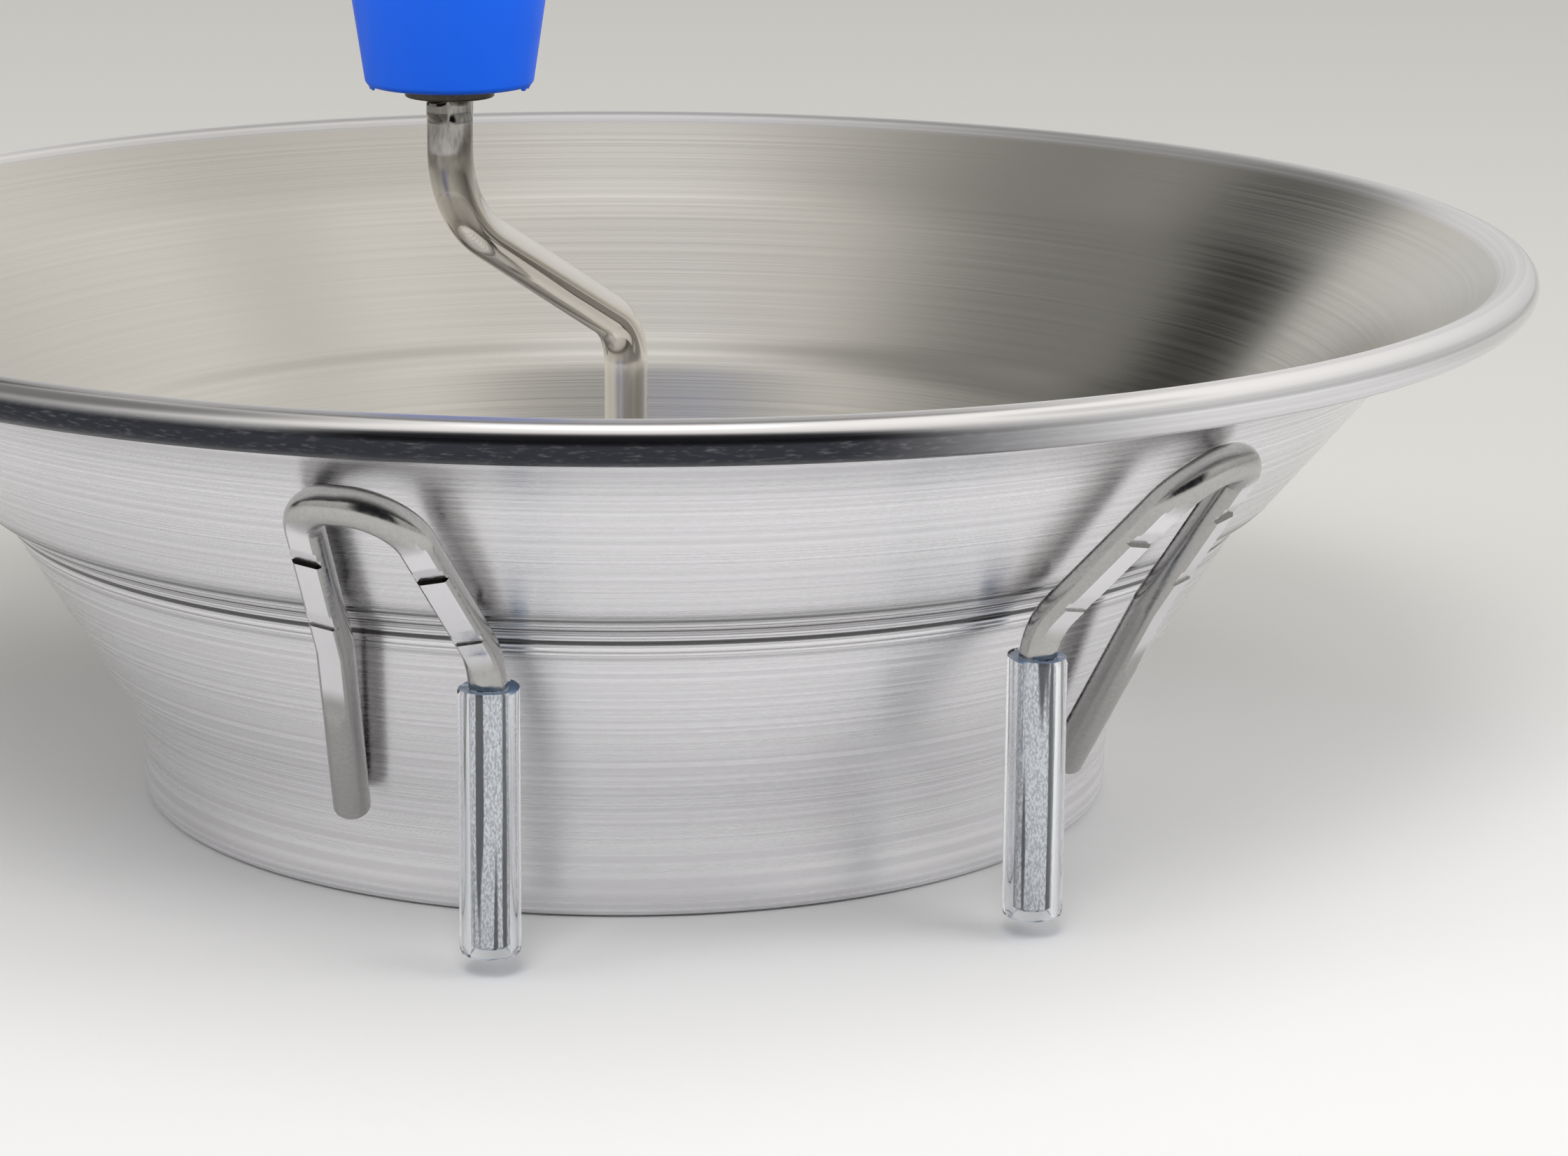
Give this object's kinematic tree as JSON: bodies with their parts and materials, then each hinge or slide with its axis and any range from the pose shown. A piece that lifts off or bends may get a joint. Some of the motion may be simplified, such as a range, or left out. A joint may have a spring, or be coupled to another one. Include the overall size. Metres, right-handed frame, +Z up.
{
  "type": "food mill",
  "caption": "Hand-cranked food mill: flared steel hopper with notched wire legs, strap handle, bent crank with a plastic knob, sloping blade and perforated disc.",
  "frame": {"origin": "centre of the outlet ring's under-face, on the crank's turning axis", "axes": "+Z up along the crank's axis, the handle reaching out along -X"},
  "size_m": [0.5, 0.31, 0.1882],
  "materials": {
    "hopper_steel": "spun satin outside and inside, polished rim",
    "leg_wire_steel": "bright drawn wire with pressed flats",
    "clear_vinyl": "clear flexible tube, bluish at the cut edges",
    "handle_steel": "satin strap",
    "crank_steel": "polished round bar",
    "knob_plastic": "moulded matte blue",
    "mechanism_steel": "satin",
    "spring_steel": "bright spring wire",
    "sieve_steel": "satin perforated sheet"
  },
  "bodies": {
    "hopper_body": {"hopper_bowl": "hopper_steel", "leg_wire_1": "leg_wire_steel", "leg_wire_2": "leg_wire_steel", "leg_wire_3": "leg_wire_steel", "leg_wire_4": "leg_wire_steel", "leg_sleeve_1": "clear_vinyl", "leg_sleeve_2": "clear_vinyl", "leg_sleeve_3": "clear_vinyl", "leg_sleeve_4": "clear_vinyl", "handle_strap": "handle_steel", "crossbar_lug_right": "mechanism_steel", "crossbar_lug_left": "mechanism_steel", "sieve_disc": "sieve_steel"},
    "crossbar_body": {"crossbar": "mechanism_steel", "crossbar_bush": "mechanism_steel", "spring_washer_upper": "mechanism_steel"},
    "crank_body": {"crank_rod": "crank_steel", "knob_washer": "crank_steel", "knob_push_nut": "crank_steel", "blade": "mechanism_steel", "blade_hub": "mechanism_steel", "hub_pin": "mechanism_steel", "pressure_spring": "spring_steel", "spring_washer_lower": "mechanism_steel"},
    "knob_body": {"crank_knob": "knob_plastic"}
  },
  "joints": [
    {"name": "crossbar_twist", "type": "hinge", "parent": "hopper_body", "child": "crossbar_body", "pos_m": [0, 0, 0.0365], "axis": [0, 0, 1], "range_deg": [0, 40]},
    {"name": "crank_turn", "type": "hinge", "parent": "crossbar_body", "child": "crank_body", "pos_m": [0, 0, 0.05], "axis": [0, 0, 1], "continuous": true},
    {"name": "knob_spin", "type": "hinge", "parent": "crank_body", "child": "knob_body", "pos_m": [-0.00619, -0.04407, 0.15], "axis": [0, 0, 1], "continuous": true}
  ]
}
